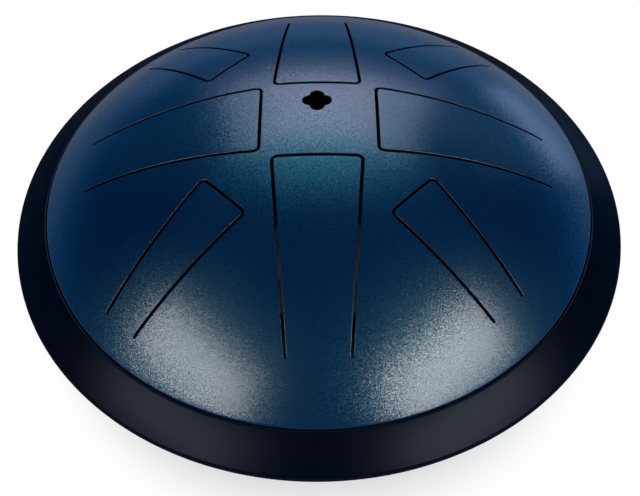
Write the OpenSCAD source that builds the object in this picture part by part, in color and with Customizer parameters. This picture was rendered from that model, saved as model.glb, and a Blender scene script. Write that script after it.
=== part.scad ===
// Steel tongue drum. Two pressed steel shells are welded rim to rim and make a hollow body.
// Eight tongues are cut in the upper shell, and a rubber ring covers the joint of the rims.
// The lower shell has a round sound port with a collar, and stands on four push-in rubber feet.
// The origin is on the ground under the middle of the drum. +Z is up, and -Y is the player's side.

/* [Drum] */
// Outside diameter, over the edge ring
drum_d = 240; // [228:1:260]
// Thickness of the steel sheet of both shells
shell_t = 1.5; // [1.2:0.1:2]
// Distance from the outside of the ring in to the inner edges of the rims, where they meet
joint_inset = 6.9; // [6.6:0.1:8]

/* [Upper shell] */
// Height of the dome above the joint
dome_rise = 51.5; // [44:0.5:58]
// Depth of the step that is pressed in the rim, where the edge ring sits
rim_step = 1.4; // [1.2:0.1:1.6]
// Rounding of the edge of the step
step_edge_r = 2; // [1.8:0.1:2.4]
// Width of the laser cut slots round the tongues
slot_w = 1.1; // [0.8:0.1:1.6]
// Radius of a tongue's corners, at the middle of the slot
tongue_corner_r = 2; // [1.2:0.1:3]

/* [Long tongues] */
// Half the width of a long tongue at its tip
long_half = 16.3; // [13:0.1:17.5]
// Lean of the sides of the front and back tongues, in degrees
long_fore_angle = 4.3; // [2:0.1:5]
// Lean of the sides of the left and right tongues, in degrees
long_side_angle = 3.4; // [2:0.1:5]
// Front tongue, from the middle of the drum to its tip
front_tip = 19.3; // [18.5:0.1:24]
// Front tongue, from the middle of the drum to the ends of its slots
front_root = 87.8; // [74:0.2:94]
// Back tongue, from the middle of the drum to its tip
back_tip = 17.9; // [17.5:0.1:24]
// Back tongue, from the middle of the drum to the ends of its slots
back_root = 75.8; // [68:0.2:94]
// Left tongue, from the middle of the drum to its tip
left_tip = 20.9; // [18.5:0.1:24]
// Left tongue, from the middle of the drum to the ends of its slots
left_root = 88.5; // [74:0.2:94]
// Right tongue, from the middle of the drum to its tip
right_tip = 22.1; // [18.5:0.1:26]
// Right tongue, from the middle of the drum to the ends of its slots
right_root = 88.2; // [74:0.2:94]

/* [Short tongues] */
// Half the width of a short tongue at its tip
short_half = 11.1; // [8:0.1:12]
// Lean of the sides of the two short tongues at the front, in degrees
short_front_angle = 4.1; // [2:0.1:5]
// Lean of the sides of the two short tongues at the back, in degrees
short_back_angle = 3.2; // [2:0.1:5]
// Front left tongue, from the middle of the drum to its tip
front_left_tip = 46.4; // [45:0.2:54]
// Front left tongue, from the middle of the drum to the ends of its slots
front_left_root = 98; // [80:0.2:100]
// Front right tongue, from the middle of the drum to its tip
front_right_tip = 46.9; // [45:0.2:54]
// Front right tongue, from the middle of the drum to the ends of its slots
front_right_root = 93.4; // [80:0.2:100]
// Back left tongue, from the middle of the drum to its tip
back_left_tip = 48.4; // [45:0.2:54]
// Back left tongue, from the middle of the drum to the ends of its slots
back_left_root = 92.6; // [80:0.2:100]
// Back right tongue, from the middle of the drum to its tip
back_right_tip = 48.4; // [45:0.2:54]
// Back right tongue, from the middle of the drum to the ends of its slots
back_right_root = 94.8; // [80:0.2:100]

/* [Four-lobed hole] */
// Radius of each lobe
lobe_r = 2.7; // [2:0.1:3]
// Distance from the middle of the hole to the middle of a lobe
lobe_offset = 2.75; // [2.2:0.05:3]
// Distance of the hole behind the middle of the drum
hole_back = 7.4; // [5:0.1:8.5]

/* [Lower shell] */
// Depth of the lower shell, from the joint to the underside of its base
bowl_depth = 45; // [40:0.5:50]
// Outside radius of the curve of the side
side_r = 95; // [85:1:110]
// Radius of the flat base, up to the bend into the side
base_flat_r = 64; // [61:0.5:68]
// Outside radius of the bend from the base into the side
knuckle_r = 20; // [14:1:24]
// Radius of the sound port inside its collar
port_r = 31; // [24:0.5:36]
// Height of the collar above the underside of the base
collar_h = 9; // [7:0.5:12]
// Outside radius of the bend from the base into the collar
collar_bend_r = 4; // [3:0.1:5]

/* [Joint and edge ring] */
// Height of the crown of the weld bead over the edges of the two sheets
weld_crown = 0.4; // [0.2:0.05:0.5]
// Radius of the nose of the edge ring
nose_r = 2; // [1.6:0.1:2.4]
// Radius of the rounded lips of the ring
lip_r = 0.8; // [0.7:0.05:0.9]
// Height of the middle of the upper lip above the joint
upper_lip_h = 9.4; // [8:0.1:10.5]
// Distance of the middle of the lower lip below the joint
lower_lip_h = 9.4; // [8:0.1:10.5]
// Clearance between the ring and the shells
ring_gap = 0.3; // [0.2:0.05:0.4]
// Open gap between the upper lip and the step of the upper shell
lip_gap = 0.9; // [0.7:0.05:1.1]

/* [Feet] */
// Height of a foot below the base
foot_h = 5; // [4:0.5:8]
// Radius of a foot
foot_r = 8; // [6:0.5:9]
// Rounding of the lower edge of a foot
foot_edge_r = 1.5; // [0.5:0.1:2]
// Distance from the middle of the drum to the middle of a foot
foot_pitch_r = 50; // [47:0.5:51]
// Radius of the neck of a foot
foot_neck_r = 3.7; // [3:0.1:4.2]
// Radius of the barb that holds a foot in the base
foot_barb_r = 5.2; // [4.8:0.1:6]
// Height of the barb
foot_barb_h = 4; // [3:0.1:5]
// Clearance round the neck in its hole, and under the barb
foot_gap = 0.1; // [0.05:0.05:0.2]

/* [Hidden] */

$fn = 180;
small_fn = 48;
corner_steps = 8;
end_steps = 6;

steel_blue = [0.07, 0.19, 0.31];
bead_grey = [0.42, 0.42, 0.43];
ring_black = [0.07, 0.08, 0.1];
foot_black = [0.05, 0.05, 0.055];

// One overrun for every cut, and a reach well past the drum
overrun = shell_t;
reach = drum_d;

drum_r = drum_d / 2;
joint_r = drum_r - joint_inset;
joint_z = foot_h + bowl_depth;

// Dome: a part of a sphere. Its rim is set in by the step, and the inside of the rim passes
// through the joint.
rim_set = shell_t + rim_step;
dome_out_r = (joint_r * joint_r + dome_rise * dome_rise - rim_set * rim_set) / (2 * (dome_rise - rim_set));
rim_out_r = dome_out_r - rim_step;
dome_c = [0, joint_z + dome_rise - dome_out_r];
joint = [joint_r, joint_z];

// Point at distance rp from p and rq from q, on the right of the way from p to q
function meet(p, rp, q, rq) =
    let (
        way = q - p,
        span = norm(way),
        along = (span * span + rp * rp - rq * rq) / (2 * span),
        aside = sqrt(rp * rp - along * along)
    )
    p + along * way / span + aside * [way.y, -way.x] / span;

// Point on the circle round c with radius r, at height z, on the outer side
function at_height(c, r, z) = [c.x + sqrt(r * r - (z - c.y) * (z - c.y)), z];

function unit(v) = v / norm(v);
function turned(v) = [-v.y, v.x];
function angle_of(v) = atan2(v.y, v.x);

// Direction from the middle of a circle to its end of a tangent shared with a second circle,
// on the left of the way from the first to the second
function tangent_way(c1, r1, c2, r2) =
    let (
        way = unit(c2 - c1),
        share = (r1 - r2) / norm(c2 - c1)
    )
    share * way + sqrt(1 - share * share) * turned(way);

// Bowl: the side curve passes through the joint and runs into the bend over the base
knuckle_c = [base_flat_r, foot_h + knuckle_r];
side_c = meet(joint, side_r - shell_t, knuckle_c, side_r - knuckle_r);
side_low_way = unit(knuckle_c - side_c);
side_high_way = unit(joint - side_c);

collar_bend_c = [port_r + collar_bend_r, foot_h + collar_bend_r];

// Corners of the V groove between the rims
groove_top = dome_c + rim_out_r * unit(joint - dome_c);
groove_low = side_c + side_r * side_high_way;

nose_c = [drum_r - nose_r, joint_z];
upper_lip_c = at_height(dome_c, rim_out_r + ring_gap + lip_r, joint_z + upper_lip_h);
lower_lip_c = at_height(side_c, side_r + ring_gap + lip_r, joint_z - lower_lip_h);

// Middle of the rounding of the step, which keeps the lip's gap to the lip
step_c = meet(upper_lip_c, step_edge_r + lip_gap + lip_r, dome_c, dome_out_r - step_edge_r);

// Room for the weld bead inside the ring, as a share of the sheet and its clearance
weld_room_share = 1.5;

foot_hole_r = foot_neck_r + foot_gap;

// Each tongue: its turn round the drum in degrees, its tip, its root, half its width and its lean
tongues = [
    [0, right_tip, right_root, long_half, long_side_angle],
    [45, back_right_tip, back_right_root, short_half, short_back_angle],
    [90, back_tip, back_root, long_half, long_fore_angle],
    [135, back_left_tip, back_left_root, short_half, short_back_angle],
    [180, left_tip, left_root, long_half, long_side_angle],
    [225, front_left_tip, front_left_root, short_half, short_front_angle],
    [270, front_tip, front_root, long_half, long_fore_angle],
    [315, front_right_tip, front_right_root, short_half, short_front_angle]
];
foot_turns = [-45, 45, 135, 225];

// The sector of a circle round c between two directions, out to the reach
module sector(c, way_1, way_2) {
    middle = unit(way_1 + way_2);
    polygon([c, c + reach * way_1, c + 2 * reach * middle, c + reach * way_2]);
}

// Points along an arc round c, in steps of equal angle
function arc(c, r, from, to, steps) =
    [for (i = [0:steps]) let (a = from + (to - from) * i / steps) c + r * [cos(a), sin(a)]];

// Half of the U-shaped slot of a tongue that points along +X: the outer edge, the round end
// and the inner edge on the +Y side. The side leans towards the axis on its way out,
// and each corner is an arc that is tangent to the tip and to the side.
function half_slot(tip, root, half, lean) =
    let (
        corner_c = [
            tip + tongue_corner_r,
            half - tongue_corner_r / cos(lean) - tongue_corner_r * tan(lean)
        ],
        corner_end = corner_c + tongue_corner_r * [sin(lean), cos(lean)],
        side_l = (root - slot_w / 2 - corner_end.x) / cos(lean),
        side_end = corner_end + side_l * [cos(lean), -sin(lean)]
    )
    concat(
        arc(corner_c, tongue_corner_r + slot_w / 2, 180, 90 - lean, corner_steps),
        arc(side_end, slot_w / 2, 90 - lean, -90 - lean, end_steps),
        arc(corner_c, tongue_corner_r - slot_w / 2, 90 - lean, 180, corner_steps)
    );

// The whole slot: one half, and back along the other
module tongue_slot(tip, root, half, lean) {
    side = half_slot(tip, root, half, lean);
    last = len(side) - 1;
    polygon(concat(side, [for (i = [0:last]) [side[last - i].x, -side[last - i].y]]));
}

module four_lobed_hole() {
    translate([0, hole_back]) {
        for (turn = [0:90:270])
            rotate(turn) translate([lobe_offset, 0]) circle(r = lobe_r, $fn = small_fn);
        square(lobe_offset, center = true);
    }
}

// The part of a circle round the middle of the dome, from the axis down to a direction that is
// turned on by the length over
module dome_part(r, way, over) {
    intersection() {
        translate(dome_c) circle(r = r);
        sector(dome_c, unit([-abs(over), reach]), unit(way - (over / dome_out_r) * turned(way)));
    }
}

// Section of the dome: its outside with the rounded step, less its inside
module dome_section() {
    step_way = unit(step_c - dome_c);
    rim_way = unit(joint - dome_c);
    difference() {
        union() {
            dome_part(dome_out_r, step_way, 0);
            translate(step_c) circle(r = step_edge_r, $fn = small_fn);
            dome_part(rim_out_r, rim_way, 0);
        }
        dome_part(dome_out_r - shell_t, step_way, step_edge_r - shell_t);
        dome_part(rim_out_r - shell_t, rim_way, overrun);
    }
}

// Pressed dome, trimmed square to its sheet at the rim, with the tongues and the hole cut through
module top_shell() {
    color(steel_blue) difference() {
        rotate_extrude() dome_section();
        translate([0, 0, joint_z]) linear_extrude(height = dome_rise + overrun) {
            for (t = tongues)
                rotate(t[0]) tongue_slot(t[1], t[2], t[3], t[4]);
            four_lobed_hole();
        }
    }
}

// The inside and all that the bowl holds, drawn in from its outside by inset
module bowl_fill(inset, over) {
    translate([0, foot_h + inset]) square([base_flat_r, bowl_depth + over]);
    translate(knuckle_c) circle(r = knuckle_r - inset);
    intersection() {
        translate(side_c) circle(r = side_r - inset);
        sector(side_c, side_low_way, unit(side_high_way + (over / side_r) * turned(side_high_way)));
    }
}

// Pressed bowl with a flat base, a sound port whose edge is turned in, and the holes of the feet
module bottom_shell() {
    color(steel_blue) difference() {
        rotate_extrude() {
            difference() {
                bowl_fill(0, 0);
                bowl_fill(shell_t, overrun);
                square([collar_bend_c.x, joint_z]);
            }
            intersection() {
                translate(collar_bend_c) difference() {
                    circle(r = collar_bend_r, $fn = small_fn);
                    circle(r = collar_bend_r - shell_t, $fn = small_fn);
                }
                translate([port_r, foot_h]) square(collar_bend_r);
            }
            translate([port_r, collar_bend_c.y]) square([shell_t, collar_h - collar_bend_r]);
        }
        for (turn = foot_turns)
            rotate(turn) translate([foot_pitch_r, 0, foot_h - overrun])
                cylinder(r = foot_hole_r, h = shell_t + 2 * overrun, $fn = small_fn);
    }
}

// Weld bead: fills the groove between the two rims, with a low crown over their outer edges
module rim_weld() {
    out = unit(unit(groove_top - joint) + unit(groove_low - joint));
    mouth = norm(groove_top - groove_low);
    mouth_depth = (groove_top - joint) * out;
    crown_r = (mouth * mouth / 4 + weld_crown * weld_crown) / (2 * weld_crown);
    color(bead_grey) rotate_extrude() intersection() {
        translate(joint + (mouth_depth + weld_crown - crown_r) * out)
            circle(r = crown_r, $fn = small_fn);
        sector(joint, unit(groove_low - joint), unit(groove_top - joint));
    }
}

// Rubber ring: two legs that hug the shells, with rounded lips and a solid nose over the joint
module edge_ring() {
    upper_way = angle_of(tangent_way(upper_lip_c, lip_r, nose_c, nose_r));
    lower_way = angle_of(tangent_way(nose_c, nose_r, lower_lip_c, lip_r));
    color(ring_black) rotate_extrude() difference() {
        polygon(concat(
            arc(nose_c, nose_r, lower_way, upper_way, corner_steps),
            arc(upper_lip_c, lip_r, upper_way, 180 + angle_of(upper_lip_c - dome_c), corner_steps),
            [joint],
            arc(lower_lip_c, lip_r, 180 + angle_of(lower_lip_c - side_c), 360 + lower_way, corner_steps)
        ));
        intersection() {
            translate(dome_c) circle(r = rim_out_r + ring_gap);
            translate([0, joint_z]) square(reach);
        }
        intersection() {
            translate(side_c) circle(r = side_r + ring_gap);
            translate([0, joint_z - reach]) square(reach);
        }
        translate(joint) circle(r = weld_room_share * (shell_t + ring_gap), $fn = small_fn);
    }
}

// Push-in rubber foot: a round pad, a neck through the base and a barb inside it
module foot(turn) {
    neck_top = foot_h + shell_t + foot_gap;
    color(foot_black) rotate(turn) translate([foot_pitch_r, 0]) rotate_extrude() {
        square([foot_r - foot_edge_r, foot_h]);
        translate([0, foot_edge_r]) square([foot_r, foot_h - foot_edge_r]);
        translate([foot_r - foot_edge_r, foot_edge_r]) circle(r = foot_edge_r, $fn = small_fn);
        square([foot_neck_r, neck_top + overrun]);
        polygon([
            [0, neck_top], [foot_barb_r, neck_top], [foot_barb_r, neck_top + foot_gap],
            [foot_neck_r, neck_top + foot_barb_h], [0, neck_top + foot_barb_h]
        ]);
    }
}

top_shell();
bottom_shell();
rim_weld();
edge_ring();
foot(foot_turns[0]);  // foot_front_right
foot(foot_turns[1]);  // foot_back_right
foot(foot_turns[2]);  // foot_back_left
foot(foot_turns[3]);  // foot_front_left
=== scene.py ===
import math

import bmesh
import bpy
import numpy as np
from mathutils import Matrix, Vector


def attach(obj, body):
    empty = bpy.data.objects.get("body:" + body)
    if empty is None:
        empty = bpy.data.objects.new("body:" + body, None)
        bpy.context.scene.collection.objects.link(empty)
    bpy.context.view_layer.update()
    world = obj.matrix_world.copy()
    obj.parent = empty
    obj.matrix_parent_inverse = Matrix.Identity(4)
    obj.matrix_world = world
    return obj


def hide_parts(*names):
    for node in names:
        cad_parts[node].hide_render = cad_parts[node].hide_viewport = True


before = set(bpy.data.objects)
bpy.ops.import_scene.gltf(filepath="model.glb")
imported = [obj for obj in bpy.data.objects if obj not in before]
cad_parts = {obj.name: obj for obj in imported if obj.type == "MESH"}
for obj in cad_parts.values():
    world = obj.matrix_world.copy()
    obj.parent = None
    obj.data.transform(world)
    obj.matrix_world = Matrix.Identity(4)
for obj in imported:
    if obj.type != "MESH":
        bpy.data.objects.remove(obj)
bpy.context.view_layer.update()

mm = 0.001

# Camera: it looks down at the drum from the player's side, as the photograph does. Its place was
# fitted to the outline of the drum, the seam of the edge ring and the slots of the tongues.
photo_width_px = 640
focal_length_px = 999.58
sensor_width = 36
camera_height_angle = math.radians(51.53)
camera_swing = math.radians(0.4425)
camera_roll = math.radians(-0.853)
camera_distance = 425.7 * mm
camera_aim = Vector((0.34, 0, 22.8)) * mm

camera = bpy.data.objects.new("photo_camera", bpy.data.cameras.new("photo_camera"))
camera.data.sensor_fit = "HORIZONTAL"
camera.data.sensor_width = sensor_width
camera.data.lens = focal_length_px * sensor_width / photo_width_px
camera.data.clip_start = 10 * mm
camera.data.clip_end = 40
backwards = Vector((
    math.cos(camera_height_angle) * math.sin(camera_swing),
    -math.cos(camera_height_angle) * math.cos(camera_swing),
    math.sin(camera_height_angle),
))
level = Vector((math.cos(camera_swing), math.sin(camera_swing), 0))
upright = backwards.cross(level)
rightwards = math.cos(camera_roll) * level + math.sin(camera_roll) * upright
upwards = math.cos(camera_roll) * upright - math.sin(camera_roll) * level
facing = Matrix((rightwards, upwards, backwards)).transposed().to_4x4()
camera.matrix_world = Matrix.Translation(camera_aim + camera_distance * backwards) @ facing
bpy.context.scene.collection.objects.link(camera)
bpy.context.scene.camera = camera
bpy.context.scene.view_settings.view_transform = "Standard"


# Stage: a plain pale floor, white round the drum and a cool blue further out. To camera, glossy and
# transmission rays it glows with its own colour. Towards the drum that glow fades to its lamp-lit diffuse,
# which makes a painted shade round the drum and also holds the drum's real shadow. Two wide softboxes
# stand in front of the drum on the left and right, dimmer ones behind and above it, and small dim fills
# low behind it.
floor_half = 8
white = (1, 1, 1, 1)
floor_blue = (0.30, 0.53, 0.95, 1)
floor_far = (0.21, 0.51, 0.81, 1)
floor_white_c = (0, 80 * mm, 0)
floor_white_r = 225 * mm
floor_blue_r = 265 * mm
floor_far_r = 750 * mm
glow_gone_r = 70 * mm
glow_full_r = 125 * mm


class Socket:
    """An output of a shader node. Sums, differences and products of sockets add Math nodes."""

    def __init__(self, tree, socket):
        self.tree = tree
        self.socket = socket

    def feed(self, entry, value):
        if isinstance(value, Socket):
            self.tree.links.new(value.socket, entry)
        else:
            entry.default_value = value

    def node(self, kind, settings=None, values=None, out=0):
        """Adds a node, gives it its settings, then its values and links, and returns one output."""
        made = self.tree.nodes.new("ShaderNode" + kind)
        for name, setting in (settings or {}).items():
            setattr(made, name, setting)
        for name, value in (values or {}).items():
            self.feed(made.inputs[name], value)
        return Socket(self.tree, made.outputs[out]) if len(made.outputs) else None

    def math(self, operation, *terms):
        return self.node("Math", {"operation": operation}, dict(enumerate(terms)))

    def vector(self, operation, *terms, out=0):
        return self.node("VectorMath", {"operation": operation}, dict(enumerate(terms)), out)

    def __add__(self, other):
        return self.math("ADD", self, other)

    def __sub__(self, other):
        return self.math("SUBTRACT", self, other)

    def __rsub__(self, other):
        return self.math("SUBTRACT", other, self)

    def __mul__(self, other):
        return self.math("MULTIPLY", self, other)

    __radd__ = __add__
    __rmul__ = __mul__

    def ramp(self, low, high):
        """0 below low, 1 above high, and smooth between them."""
        settings = {"interpolation_type": "SMOOTHSTEP"}
        return self.node("MapRange", settings, {"Value": self, "From Min": low, "From Max": high})

    def blend(self, colour_a, colour_b):
        """colour_a where this is 0 and colour_b where it is 1."""
        return self.node("Mix", {"data_type": "RGBA"}, {0: self, 6: colour_a, 7: colour_b}, 2)

    def noise(self, size, detail, out=0):
        """A soft random pattern on these coordinates, with spots of about the size given."""
        return self.node("TexNoise", {}, {"Vector": self, "Scale": 1 / size, "Detail": detail}, out)

    def relief(self, depth):
        """The normal of a surface that this pattern raises by the depth where it is 1."""
        return self.node("Bump", {}, {"Strength": 1, "Distance": depth, "Height": self})


def new_material(name):
    """An empty material, and the Object coordinates that its patterns read."""
    material = bpy.data.materials.new(name)
    material.use_nodes = True
    material.node_tree.nodes.clear()
    coordinates = Socket(material.node_tree, None).node("TexCoord", out="Object")
    return material, coordinates


bpy.ops.object.select_all(action="DESELECT")
bpy.ops.mesh.primitive_plane_add(size=2 * floor_half)
floor = bpy.context.object
floor.name = "floor"
floor_paint, place = new_material("floor_paint")
distance = place.vector("LENGTH", place, out="Value")
floor_colour = distance.ramp(floor_blue_r, floor_far_r).blend(floor_blue, floor_far)
white_distance = place.vector("DISTANCE", place, floor_white_c, out="Value")
floor_colour = white_distance.ramp(floor_white_r, floor_blue_r).blend(white, floor_colour)
matt = place.node("BsdfDiffuse", {}, {"Color": floor_colour})
glow = place.node("Emission", {}, {"Color": floor_colour})
ray = place.node("LightPath", out="Is Camera Ray")
seen = ray.math("MAXIMUM", ray, place.node("LightPath", out="Is Glossy Ray"))
seen = seen.math("MAXIMUM", seen, place.node("LightPath", out="Is Transmission Ray"))
# Painted shade, partly: between these radii the glow fades out towards the drum, and the floor darkens to
# its lamp-lit diffuse, with the drum's real shadow in it.
glow_share = distance.ramp(glow_gone_r, glow_full_r)
surface = place.node("MixShader", {}, {0: seen * glow_share, 1: matt, 2: glow})
place.node("OutputMaterial", {}, {"Surface": surface})
floor.data.materials.append(floor_paint)

# The room: blue near the horizon, and dark above it so that only the lamps show in the coat. Its
# two heights are sines of the angle above the horizon.
low_blue = (0, 0.17, 0.455, 1)
high_dark = (0, 0, 0, 1)
blue_top = 0.08
dark_from = 0.25
studio = bpy.data.worlds.new("studio")
studio.use_nodes = True
studio.node_tree.nodes.clear()
way = Socket(studio.node_tree, None).node("TexCoord", out="Generated")
height = way.node("SeparateXYZ", {}, {0: way}, "Z")
room_colour = height.ramp(blue_top, dark_from).blend(low_blue, high_dark)
room = way.node("Background", {}, {"Color": room_colour})
way.node("OutputWorld", {}, {"Surface": room})
bpy.context.scene.world = studio


def softbox(name, distance, azimuth, elevation, width, height, radiance, colour):
    """A rectangular lamp that faces the drum from a direction given in degrees, +X being 0."""
    box = bpy.data.lights.new(name, "AREA")
    box.shape = "RECTANGLE"
    box.size = width
    box.size_y = height
    box.energy = radiance * math.pi * width * height
    box.color = colour
    lamp = bpy.data.objects.new(name, box)
    swing = math.radians(azimuth)
    rise = math.radians(elevation)
    way = Vector((math.cos(rise) * math.cos(swing), math.cos(rise) * math.sin(swing), math.sin(rise)))
    lamp.location = lamp_centre + distance * way
    lamp.rotation_euler = way.to_track_quat("Z", "Y").to_euler()
    lamp.visible_camera = False
    bpy.context.scene.collection.objects.link(lamp)


lamp_centre = Vector((0, 0, 50 * mm))
far = 0.9
near = 0.5
# Each lamp: name, distance, azimuth, elevation, width, height, radiance and colour.
lamps = [
    ("softbox_left", far, -139.5, 36, 0.62, 0.27, 4.75, (1, 1, 1)),
    ("softbox_right", far, -41, 35.3, 0.63, 0.29, 5.65, (1, 1, 1)),
    ("softbox_back", far, 87.7, 42, 0.78, 0.53, 1.92, (0.7, 0.8, 1)),
    ("softbox_core", far, 88, 42, 0.4, 0.4, 1.22, (1, 0.75, 1)),
    ("softbox_top", far, 88, 60, 0.9, 0.35, 0.5, (0, 0.72, 1)),
    ("softbox_high", far, 89, 66, 0.45, 0.3, 0.64, (0.2, 0.82, 1)),
    ("softbox_low", far, 88, 25, 0.9, 0.3, 0.44, (0.58, 0.46, 1)),
    ("fill_right", near, 45, 0, 0.2, 0.1, 2.5, (0.5, 0.66, 1)),
    ("fill_back", near, 90, 0, 0.7, 0.08, 0.35, (0.5, 0.5, 1)),
    ("fill_right_high", near, 48, 25, 0.3, 0.2, 0.29, (0.3, 0.72, 0.96)),
    ("fill_left_high", near, 132, 25, 0.3, 0.2, 0.134, (0.05, 0.7, 1)),
]
for lamp in lamps:
    softbox(*lamp)


# Lower shell: a bowl pressed from steel sheet, with a flat base and a round sound port whose edge
# is turned in to a collar. It is powder coated like the dome, and its base has four holes for
# the feet.
sheet = 1.5 * mm
joint = Vector((113.1, 50)) * mm
bowl_r = 95 * mm
knuckle_c = Vector((64, 25)) * mm
knuckle_r = 20 * mm
collar_bend_c = Vector((35, 9)) * mm
collar_bend_r = 4 * mm
collar_top = 14 * mm
foot_hole_r = 3.8 * mm
foot_pitch_r = 50 * mm
foot_turns = {"front_right": -45, "back_right": 45, "back_left": 135, "front_left": 225}
hole_cut_h = 18 * mm
hole_steps = 48
round_steps = 256
merge_reach = 0.002 * mm
crease_angle = 35


def heading(way):
    """Direction of a vector in the profile plane, in degrees from outwards towards up."""
    return math.degrees(math.atan2(way.y, way.x))


def on_circle(centre, radius, degrees):
    """The point of a circle at a heading in degrees."""
    swing = math.radians(degrees)
    return centre + radius * Vector((math.cos(swing), math.sin(swing)))


def meet(p, p_reach, q, q_reach):
    """The point at these distances from p and q, on the right of the way from p to q."""
    way = q - p
    along = (way.length_squared + p_reach**2 - q_reach**2) / (2 * way.length)
    aside = math.sqrt(p_reach**2 - along**2)
    return p + (along * way + aside * Vector((way.y, -way.x))) / way.length


def draw_profile(name, start, strokes):
    """Draws an edge chain in the XZ plane: straight strokes to a point, and arcs round a centre
    that are given as (centre, degrees, steps). Leaves the new object in edit mode."""
    bpy.ops.object.select_all(action="DESELECT")
    bpy.ops.mesh.primitive_plane_add(size=sheet)
    piece = bpy.context.object
    piece.name = name
    piece.data.name = name
    bpy.ops.object.mode_set(mode="EDIT")
    bpy.ops.mesh.select_mode(type="VERT")
    bpy.ops.mesh.merge(type="CENTER")
    bpy.ops.transform.translate(value=(start.x, 0, start.y))
    here = start
    for stroke in strokes:
        if isinstance(stroke, Vector):
            step = stroke - here
            bpy.ops.mesh.extrude_vertices_move(TRANSFORM_OT_translate={"value": (step.x, 0, step.y)})
            here = stroke
        else:
            centre, degrees, steps = stroke
            turn = math.radians(degrees)
            bpy.ops.mesh.spin(steps=steps, angle=turn, center=(centre.x, 0, centre.y), axis=(0, 1, 0))
            here = centre + Matrix.Rotation(turn, 2) @ (here - centre)
    return piece


def spin_profile(steps):
    """Turns the drawn profile once round the Z axis, and closes the seam and the poles."""
    bpy.ops.mesh.select_all(action="SELECT")
    bpy.ops.mesh.spin(steps=steps, angle=2 * math.pi, center=(0, 0, 0), axis=(0, 0, 1))
    bpy.ops.mesh.select_all(action="SELECT")
    bpy.ops.mesh.remove_doubles(threshold=merge_reach)
    bpy.ops.mesh.normals_make_consistent(inside=False)
    bpy.ops.object.mode_set(mode="OBJECT")


def modify(piece, kind, **settings):
    """Adds a modifier with its settings and applies it."""
    modifier = piece.modifiers.new(kind.lower(), kind)
    for name, setting in settings.items():
        setattr(modifier, name, setting)
    bpy.context.view_layer.objects.active = piece
    bpy.ops.object.modifier_apply(modifier=modifier.name)


def cut(piece, cutter):
    """Takes the cutter out of the piece, and removes the cutter."""
    modify(piece, "BOOLEAN", operation="DIFFERENCE", solver="EXACT", object=cutter)
    bpy.data.objects.remove(cutter)


def smooth(piece):
    """Smooth shading over the edges that turn by less than the crease angle."""
    bpy.ops.object.select_all(action="DESELECT")
    piece.select_set(True)
    bpy.context.view_layer.objects.active = piece
    bpy.ops.object.shade_smooth_by_angle(angle=math.radians(crease_angle))


bowl_c = meet(joint, bowl_r - sheet, knuckle_c, bowl_r - knuckle_r)
bowl_low = heading(knuckle_c - bowl_c)
bowl_high = heading(joint - bowl_c)
port_edge = Vector((collar_bend_c.x - collar_bend_r, collar_top))
bowl_profile = [
    Vector((port_edge.x, collar_bend_c.y)),
    (collar_bend_c, 90, 8),
    Vector((knuckle_c.x, knuckle_c.y - knuckle_r)),
    (knuckle_c, bowl_low + 90, 6),
    (bowl_c, bowl_high - bowl_low, 30),
]
lower_shell = draw_profile("lower_shell", port_edge, bowl_profile)
spin_profile(round_steps)
modify(lower_shell, "SOLIDIFY", thickness=sheet, offset=-1, use_even_offset=True)
for turn in foot_turns.values():
    spot = on_circle(Vector((0, 0)), foot_pitch_r, turn).to_3d()
    bpy.ops.object.select_all(action="DESELECT")
    bpy.ops.mesh.primitive_cylinder_add(
        vertices=hole_steps, radius=foot_hole_r, depth=hole_cut_h, location=spot
    )
    cut(lower_shell, bpy.context.object)
smooth(lower_shell)

# The coat: a blue pigment with a small share of metal flakes in it, some teal and dull, and some
# pearly and bright. The grain tilts the flakes at random and varies how many there are.
deep_blue = (0, 0.0062, 0.056, 1)
petrol_blue = (0, 0.0080, 0.060, 1)
pigment_roughness = 0.45
drift_size = 60 * mm
drift_band = (0.4, 0.6)
teal_flake = (0, 0.42, 0.47, 1)
teal_roughness = 0.43
pearl_flake = (0.77, 0.70, 0.72, 1)
pearl_roughness = 0.225
pearl_share = 0.5
flake_share = 0.18
grain_pitch = 0.42 * mm
grain_middle = 0.5
grain_tilt = 0.27
grain_vary = 1.9
shell_coat, place = new_material("satin_blue_coat")
drift = place.noise(drift_size, 2)
grain = place.noise(grain_pitch, 1, "Color")
chance = grain.node("SeparateColor", {}, {0: grain})
normal = place.node("NewGeometry", out="Normal")
tilt = grain.vector("SUBTRACT", grain, (grain_middle, grain_middle, grain_middle))
tilt = tilt.node("VectorMath", {"operation": "SCALE"}, {0: tilt, "Scale": grain_tilt})
flake_normal = tilt.vector("NORMALIZE", tilt.vector("ADD", normal, tilt))
pigment = place.node("BsdfPrincipled", {}, {
    "Base Color": drift.ramp(*drift_band).blend(deep_blue, petrol_blue),
    "Roughness": pigment_roughness,
    "Specular IOR Level": 0,
})
teal = place.node("BsdfPrincipled", {}, {
    "Base Color": teal_flake,
    "Metallic": 1,
    "Roughness": teal_roughness,
    "Normal": flake_normal,
})
pearl = place.node("BsdfPrincipled", {}, {
    "Base Color": pearl_flake,
    "Metallic": 1,
    "Roughness": pearl_roughness,
    "Normal": flake_normal,
})
flake = place.node("MixShader", {}, {0: pearl_share, 1: teal, 2: pearl})
share = ((chance - grain_middle) * grain_vary + 1) * flake_share
surface = place.node("MixShader", {}, {0: share, 1: pigment, 2: flake})
place.node("OutputMaterial", {}, {"Surface": surface})
lower_shell.data.materials.append(shell_coat)
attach(lower_shell, "root")
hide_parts("bottom_shell")


# Feet: four moulded rubber pads. Each has a neck pushed through its hole in the base and a
# barb that holds it there.
foot_h = 5 * mm
foot_r = 8 * mm
foot_edge_r = 1.5 * mm
foot_top_edge_r = 0.5 * mm
cup_r = 4.5 * mm
cup_depth = 0.5 * mm
neck_r = 3.7 * mm
neck_top = 6.6 * mm
barb_r = 5.2 * mm
barb_edge = 0.1 * mm
barb_top = 10.6 * mm
foot_steps = 64

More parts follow.
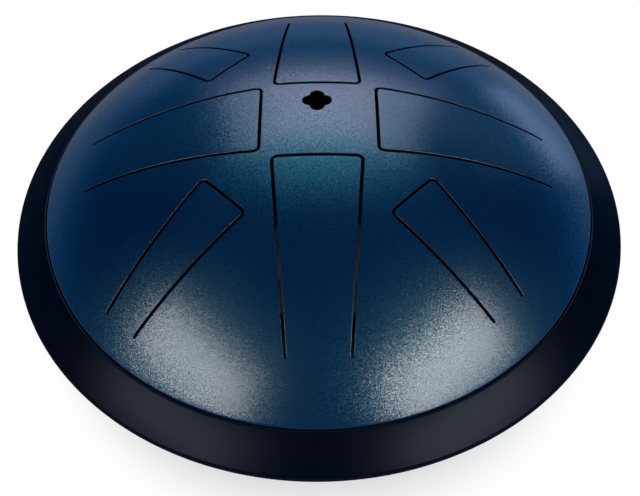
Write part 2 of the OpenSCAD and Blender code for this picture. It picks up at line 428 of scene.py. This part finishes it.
foot_profile = [
    Vector((cup_r - cup_depth, cup_depth)),
    Vector((cup_r, 0)),
    Vector((foot_r - foot_edge_r, 0)),
    (Vector((foot_r - foot_edge_r, foot_edge_r)), 90, 6),
    Vector((foot_r, foot_h - foot_top_edge_r)),
    (Vector((foot_r - foot_top_edge_r, foot_h - foot_top_edge_r)), 90, 3),
    Vector((neck_r, foot_h)),
    Vector((neck_r, neck_top)),
    Vector((barb_r, neck_top)),
    Vector((barb_r, neck_top + barb_edge)),
    Vector((neck_r, barb_top)),
    Vector((0, barb_top)),
]
rubber_black = (0.0045, 0.0048, 0.0055, 1)
rubber_grey = (0.010, 0.010, 0.011, 1)
bloom_size = 3 * mm
bloom_band = (0.35, 0.75)
foot_roughness = 0.52
foot_roughness_vary = 0.16
foot_pore_size = 0.35 * mm
pore_depth = 0.02 * mm
foot_rubber, place = new_material("foot_rubber")
bloom = place.noise(bloom_size, 3)
rubber = place.node("BsdfPrincipled", {}, {
    "Base Color": bloom.ramp(*bloom_band).blend(rubber_black, rubber_grey),
    "Roughness": foot_roughness + bloom * foot_roughness_vary,
    "Normal": place.noise(foot_pore_size, 2).relief(pore_depth),
})
place.node("OutputMaterial", {}, {"Surface": rubber})

for name, turn in foot_turns.items():
    spot = on_circle(Vector((0, 0)), foot_pitch_r, turn)
    foot = draw_profile("pad_" + name, Vector((0, cup_depth)), foot_profile)
    spin_profile(foot_steps)
    bpy.ops.object.mode_set(mode="EDIT")
    bpy.ops.mesh.select_all(action="SELECT")
    bpy.ops.transform.translate(value=(spot.x, spot.y, 0))
    bpy.ops.object.mode_set(mode="OBJECT")
    smooth(foot)
    foot.data.materials.append(foot_rubber)
    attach(foot, "root")
    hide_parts("foot_" + name)


# Upper shell: a round blank of steel sheet with eight U-shaped slots and a four-lobed hole cut
# through it, pressed to a dome and powder coated. Each slot leaves a tongue that hangs on its
# uncut end. The rim is set in by a step, where the upper lip of the edge ring sits.
dome_top = 101.5 * mm
rim_step = 1.4 * mm
step_edge_r = 0.8 * mm
lip_r = 0.8 * mm
lip_gap = 0.35 * mm
lip_rise = 9.4 * mm
ring_gap = 0.3 * mm
border_w = 1 * mm
rim_set = sheet + rim_step
dome_rise = dome_top - joint.y
dome_out_r = (joint.x**2 + dome_rise**2 - rim_set**2) / (2 * (dome_rise - rim_set))
dome_in_r = dome_out_r - sheet
rim_out_r = dome_out_r - rim_step
dome_c = Vector((0, dome_top - dome_out_r))
slot_w = 1.1 * mm
tongue_corner_r = 2 * mm
slot_end_share = 0.48
slot_edge_r = 0.18 * mm
slot_burr = 0.1 * mm
bar_h = 10 * mm
long_half = 16.3 * mm
short_half = 11.1 * mm
lobe_r = 2.7 * mm
lobe_offset = 2.75 * mm
hole_back = 7.4 * mm
grid_pitch = 2.9 * mm
grid_shift_share = 0.37
flat_slope = 0.9
end_slope = 0.99
edge_slope = 0.5
wall_slope = 0.2
# Each tongue: turn, tip and root as distances from the axis, half its width at the tip, and the
# lean of its sides. The slopes above are limits on the upright part of a normal or an edge.
tongues = [
    (0, 22.1 * mm, 88.2 * mm, long_half, 3.4),
    (45, 48.4 * mm, 94.8 * mm, short_half, 3.2),
    (90, 17.9 * mm, 75.8 * mm, long_half, 4.3),
    (135, 48.4 * mm, 92.6 * mm, short_half, 3.2),
    (180, 20.9 * mm, 88.5 * mm, long_half, 3.4),
    (225, 46.4 * mm, 98 * mm, short_half, 4.1),
    (270, 19.3 * mm, 87.8 * mm, long_half, 4.3),
    (315, 46.9 * mm, 93.4 * mm, short_half, 4.1),
]


def at_height(centre, radius, height):
    """The point of a circle at a height, on its outward side."""
    return Vector((centre.x + math.sqrt(radius**2 - (height - centre.y) ** 2), height))


def pick_edges(piece, test):
    """In edit mode, selects only the edges that pass a test."""
    bpy.ops.mesh.select_mode(type="EDGE")
    bpy.ops.mesh.select_all(action="DESELECT")
    edit = bmesh.from_edit_mesh(piece.data)
    for edge in edit.edges:
        if test(edge):
            edge.select_set(True)
    bmesh.update_edit_mesh(piece.data)


def pick_faces(piece, test):
    """In edit mode, selects only the faces that pass a test."""
    bpy.ops.mesh.select_mode(type="FACE")
    bpy.ops.mesh.select_all(action="DESELECT")
    edit = bmesh.from_edit_mesh(piece.data)
    for face in edit.faces:
        if test(face):
            face.select_set(True)
    bmesh.update_edit_mesh(piece.data)


def middle(edge):
    return (edge.verts[0].co + edge.verts[1].co) / 2


def spread(face):
    """Distance of a face from the axis of the drum."""
    return face.calc_center_median().xy.length


def is_upright(edge):
    along = edge.verts[1].co - edge.verts[0].co
    return abs(along.z) > flat_slope * along.length


def slot_bar(turn, tip, root, half, lean):
    """A U-shaped bar that fills the slot of one tongue: round at its ends and at its corners."""
    slope = math.radians(lean)
    bpy.ops.object.select_all(action="DESELECT")
    bpy.ops.mesh.primitive_plane_add(size=1)
    bar = bpy.context.object
    bpy.ops.object.mode_set(mode="EDIT")
    bpy.ops.transform.resize(value=(root - tip, 2 * half, 1))
    bpy.ops.transform.translate(value=((root + tip) / 2, 0, -bar_h / 2))
    pick_edges(bar, lambda edge: middle(edge).x > root - slot_w)
    bpy.ops.transform.resize(value=(1, 1 - (root - tip) * math.tan(slope) / half, 1))
    bpy.ops.mesh.delete(type="EDGE")
    bpy.ops.mesh.select_all(action="SELECT")
    bpy.ops.mesh.extrude_region_move(TRANSFORM_OT_translate={"value": (0, 0, bar_h)})
    pick_edges(bar, lambda edge: is_upright(edge) and middle(edge).x < tip + slot_w)
    corner_reach = tongue_corner_r / math.tan(math.radians(90 - lean) / 2)
    bpy.ops.mesh.bevel(offset=corner_reach, segments=8, affect="EDGES")
    bpy.ops.object.mode_set(mode="OBJECT")
    modify(bar, "SOLIDIFY", thickness=slot_w, offset=0, use_even_offset=True)
    bpy.ops.object.mode_set(mode="EDIT")
    pick_edges(bar, lambda edge: is_upright(edge) and middle(edge).x > root - slot_w)
    bpy.ops.mesh.bevel(offset=slot_end_share * slot_w, segments=5, affect="EDGES")
    bpy.ops.object.mode_set(mode="OBJECT")
    bar.rotation_euler.z = math.radians(turn)
    bpy.ops.object.transform_apply(rotation=True)
    return bar


def lobed_bar():
    """A bar that fills the four-lobed hole."""
    bpy.ops.object.select_all(action="DESELECT")
    bpy.ops.mesh.primitive_cube_add(size=lobe_offset, location=(0, hole_back, 0))
    bar = bpy.context.object
    bar.scale.z = bar_h / lobe_offset
    bpy.ops.object.transform_apply(location=True, scale=True)
    for turn in range(0, 360, 90):
        spot = on_circle(Vector((0, hole_back)), lobe_offset, turn).to_3d()
        bpy.ops.object.select_all(action="DESELECT")
        bpy.ops.mesh.primitive_cylinder_add(vertices=hole_steps, radius=lobe_r, depth=bar_h, location=spot)
        lobe = bpy.context.object
        modify(bar, "BOOLEAN", operation="UNION", solver="EXACT", object=lobe)
        bpy.data.objects.remove(lobe)
    return bar


def is_cut_edge(edge, height):
    """An edge of a slot or of the hole, on the face of the blank at that height."""
    if abs(middle(edge).z - height) > merge_reach or middle(edge).xy.length > border_in:
        return False
    slopes = sorted(abs(face.normal.z) for face in edge.link_faces)
    return len(slopes) == 2 and slopes[0] < edge_slope < slopes[1]


upper_lip_c = at_height(dome_c, rim_out_r + ring_gap + lip_r, joint.y + lip_rise)
step_c = meet(upper_lip_c, step_edge_r + lip_gap + lip_r, dome_c, dome_out_r - step_edge_r)
step_foot = meet(dome_c, rim_out_r, step_c, step_edge_r)
step_heading = heading(step_c - dome_c)
wall_heading = step_heading - math.degrees((step_edge_r - sheet) / dome_out_r)
rim_heading = heading(joint - dome_c)
step_top = on_circle(dome_c, dome_out_r, step_heading)
wall_top = on_circle(dome_c, dome_in_r, wall_heading)
border_in = wall_top.x - border_w - merge_reach

bpy.ops.object.select_all(action="DESELECT")
bpy.ops.mesh.primitive_cone_add(
    vertices=round_steps, radius1=wall_top.x, radius2=step_top.x, depth=sheet, location=(0, 0, -sheet / 2)
)
upper_shell = bpy.context.object
upper_shell.name = "upper_shell"
upper_shell.data.name = "upper_shell"
bpy.ops.object.transform_apply(location=True)
bpy.ops.object.mode_set(mode="EDIT")
pick_faces(upper_shell, lambda face: abs(face.normal.z) > flat_slope)
bpy.ops.mesh.inset(thickness=border_w, use_individual=True)
bpy.ops.object.mode_set(mode="OBJECT")
for tongue in tongues:
    cut(upper_shell, slot_bar(*tongue))
cut(upper_shell, lobed_bar())
bpy.ops.object.select_all(action="DESELECT")
bpy.context.view_layer.objects.active = upper_shell
bpy.ops.object.mode_set(mode="EDIT")
pick_edges(upper_shell, lambda edge: is_cut_edge(edge, 0))
bpy.ops.mesh.bevel(offset=slot_edge_r, segments=3, affect="EDGES")
pick_edges(upper_shell, lambda edge: is_cut_edge(edge, -sheet))
bpy.ops.mesh.bevel(offset=slot_burr, segments=1, affect="EDGES")

# The walls of the slots and the hole are painted near black, in faint brownish patches: painted shade,
# which stands in for the dark inside the narrow cuts.
cut_wall_shade_black = (0.0006, 0.0009, 0.0020, 1)
cut_wall_shade_brown = (0.0020, 0.0017, 0.0016, 1)
wall_patch_size = 0.7 * mm
wall_patch_band = (0.4, 0.7)
cut_wall_roughness = 0.55
cut_wall_roughness_vary = 0.2
cut_wall_gloss = 0.05
cut_wall_shade, place = new_material("cut_wall_painted_shade")
wall_patches = place.noise(wall_patch_size, 2)
wall = place.node("BsdfPrincipled", {}, {
    "Base Color": wall_patches.ramp(*wall_patch_band).blend(cut_wall_shade_black, cut_wall_shade_brown),
    "Roughness": cut_wall_roughness + wall_patches * cut_wall_roughness_vary,
    "Specular IOR Level": cut_wall_gloss,
})
place.node("OutputMaterial", {}, {"Surface": wall})
upper_shell.data.materials.append(shell_coat)
upper_shell.data.materials.append(cut_wall_shade)
# Painted shade: the walls of the slots and the hole take the near-black material.
pick_faces(upper_shell, lambda face: abs(face.normal.z) < wall_slope and spread(face) < border_in)
upper_shell.active_material_index = 1
bpy.ops.object.material_slot_assign()

# The end face of the blank gives way to the step. A grid of cuts then gives the flat blank the
# points that it needs to bend, and its border is hidden meanwhile and keeps its even sides.
pick_faces(upper_shell, lambda face: abs(face.normal.z) < end_slope and spread(face) > border_in)
bpy.ops.mesh.delete(type="FACE")
pick_faces(upper_shell, lambda face: spread(face) > border_in)
bpy.ops.mesh.hide()
grid_count = 2 * int(joint.x / grid_pitch) + 2
for line in range(grid_count):
    offset = (line - grid_count / 2 + grid_shift_share) * grid_pitch
    for way in ((1, 0, 0), (0, 1, 0)):
        bpy.ops.mesh.select_all(action="SELECT")
        bpy.ops.mesh.bisect(plane_co=Vector(way) * offset, plane_no=way)
bpy.ops.mesh.reveal()
bpy.ops.object.mode_set(mode="OBJECT")

# The press: each point of the blank is lifted onto the dome, its depth in the sheet kept.
places = np.empty(len(upper_shell.data.vertices) * 3)
upper_shell.data.vertices.foreach_get("co", places)
places = places.reshape(-1, 3)
out_sq = places[:, 0] ** 2 + places[:, 1] ** 2
inside = dome_c.y + np.sqrt(dome_in_r**2 - out_sq)
outside = dome_c.y + np.sqrt(dome_out_r**2 - out_sq)
places[:, 2] = outside + (outside - inside) * places[:, 2] / sheet
upper_shell.data.vertices.foreach_set("co", places.ravel())
upper_shell.data.update()

rim_profile = [
    (step_c, heading(step_foot - step_c) - step_heading, 8),
    (dome_c, rim_heading - heading(step_foot - dome_c), 6),
    joint,
    (dome_c, wall_heading - rim_heading, 6),
    wall_top,
]
rim_band = draw_profile("rim_band", step_top, rim_profile)
spin_profile(round_steps)
rim_band.data.materials.append(shell_coat)
bpy.ops.object.select_all(action="DESELECT")
rim_band.select_set(True)
upper_shell.select_set(True)
bpy.context.view_layer.objects.active = upper_shell
bpy.ops.object.join()
bpy.ops.object.mode_set(mode="EDIT")
bpy.ops.mesh.select_mode(type="VERT")
bpy.ops.mesh.select_all(action="SELECT")
bpy.ops.mesh.remove_doubles(threshold=merge_reach)
bpy.ops.mesh.normals_make_consistent(inside=False)
bpy.ops.object.mode_set(mode="OBJECT")
smooth(upper_shell)
modify(upper_shell, "WEIGHTED_NORMAL", mode="FACE_AREA", weight=50, keep_sharp=True)
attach(upper_shell, "root")
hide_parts("top_shell")


# Weld: one bead of bare steel that joins the two rims all round, hidden under the edge ring. Its
# solid stays as it is, and its steel shows the heat of the weld.
steel_grey = (0.42, 0.42, 0.43, 1)
steel_straw = (0.46, 0.36, 0.20, 1)
heat_size = 6 * mm
heat_band = (0.4, 0.7)
steel_roughness = 0.3
steel_roughness_vary = 0.25
ripple_size = 0.8 * mm
ripple_depth = 0.05 * mm
weld_steel, place = new_material("weld_steel")
heat = place.noise(heat_size, 2)
bead = place.node("BsdfPrincipled", {}, {
    "Base Color": heat.ramp(*heat_band).blend(steel_grey, steel_straw),
    "Metallic": 1,
    "Roughness": steel_roughness + heat * steel_roughness_vary,
    "Normal": place.noise(ripple_size, 1).relief(ripple_depth),
})
place.node("OutputMaterial", {}, {"Surface": bead})
rim_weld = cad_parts["rim_weld"]
rim_weld.data.materials.clear()
rim_weld.data.materials.append(weld_steel)


# Edge ring: a moulded rubber ring stretched over the joint. It has a rounded nose all round and
# two legs whose lips bear on the shells, and it keeps the welded rims from knocks.
nose_c = Vector((118, 50)) * mm
nose_r = 2 * mm
weld_room_r = 2.7 * mm
weld_room_angle = 50
seam_h = 0.05 * mm
seam_half_angle = 3.5


def tangent_heading(c1, r1, c2, r2):
    """Direction from both centres to their ends of a shared tangent, on the left of the way."""
    way = c2 - c1
    return heading(way) + math.degrees(math.acos((r1 - r2) / way.length))


lower_lip_c = at_height(bowl_c, bowl_r + ring_gap + lip_r, joint.y - lip_rise)
upper_way = tangent_heading(upper_lip_c, lip_r, nose_c, nose_r)
lower_way = tangent_heading(nose_c, nose_r, lower_lip_c, lip_r)
upper_lip_end = heading(upper_lip_c - dome_c) + 180
lower_lip_start = heading(lower_lip_c - bowl_c) + 180
seat_end = rim_heading + math.degrees(weld_room_r / rim_out_r)
low_seat_start = bowl_high - math.degrees(weld_room_r / bowl_r)
nose_low = nose_r - seam_h
ring_profile = [
    (nose_c, -seam_half_angle - lower_way, 8),
    on_circle(nose_c, nose_r, -seam_half_angle / 2),
    on_circle(nose_c, nose_r, seam_half_angle / 2),
    on_circle(nose_c, nose_low, seam_half_angle),
    (nose_c, upper_way - seam_half_angle, 6),
    on_circle(upper_lip_c, lip_r, upper_way),
    (upper_lip_c, upper_lip_end - upper_way, 10),
    (dome_c, seat_end - heading(upper_lip_c - dome_c), 8),
    on_circle(joint, weld_room_r, weld_room_angle),
    on_circle(joint, weld_room_r, -weld_room_angle),
    on_circle(bowl_c, bowl_r + ring_gap, low_seat_start),
    (bowl_c, heading(lower_lip_c - bowl_c) - low_seat_start, 8),
    (lower_lip_c, lower_way + 360 - lower_lip_start, 10),
    on_circle(nose_c, nose_low, lower_way),
]
edge_ring = draw_profile("rubber_ring", on_circle(nose_c, nose_low, lower_way), ring_profile)
spin_profile(round_steps)
smooth(edge_ring)
ring_black = (0.0004, 0.0022, 0.0078, 1)
ring_grey = (0.0006, 0.0030, 0.0100, 1)
ring_roughness = 0.6
ring_sheen = (0.60, 0.68, 0.80, 1)
sheen_share = 0.0135
sheen_roughness = 0.28
sheen_roughness_vary = 0.06
cloud_size = 9 * mm
cloud_band = (0.35, 0.7)
ring_pore_size = 0.5 * mm
ring_rubber, place = new_material("ring_rubber")
cloud = place.noise(cloud_size, 4)
pores = place.noise(ring_pore_size, 2).relief(pore_depth)
rubber = place.node("BsdfPrincipled", {}, {
    "Base Color": cloud.ramp(*cloud_band).blend(ring_black, ring_grey),
    "Roughness": ring_roughness,
    "Specular IOR Level": 0,
    "Normal": pores,
})
sheen = place.node("BsdfPrincipled", {}, {
    "Base Color": ring_sheen,
    "Metallic": 1,
    "Roughness": sheen_roughness + cloud * sheen_roughness_vary,
    "Normal": pores,
})
surface = place.node("MixShader", {}, {0: sheen_share, 1: rubber, 2: sheen})
place.node("OutputMaterial", {}, {"Surface": surface})
edge_ring.data.materials.append(ring_rubber)
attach(edge_ring, "root")
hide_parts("edge_ring")
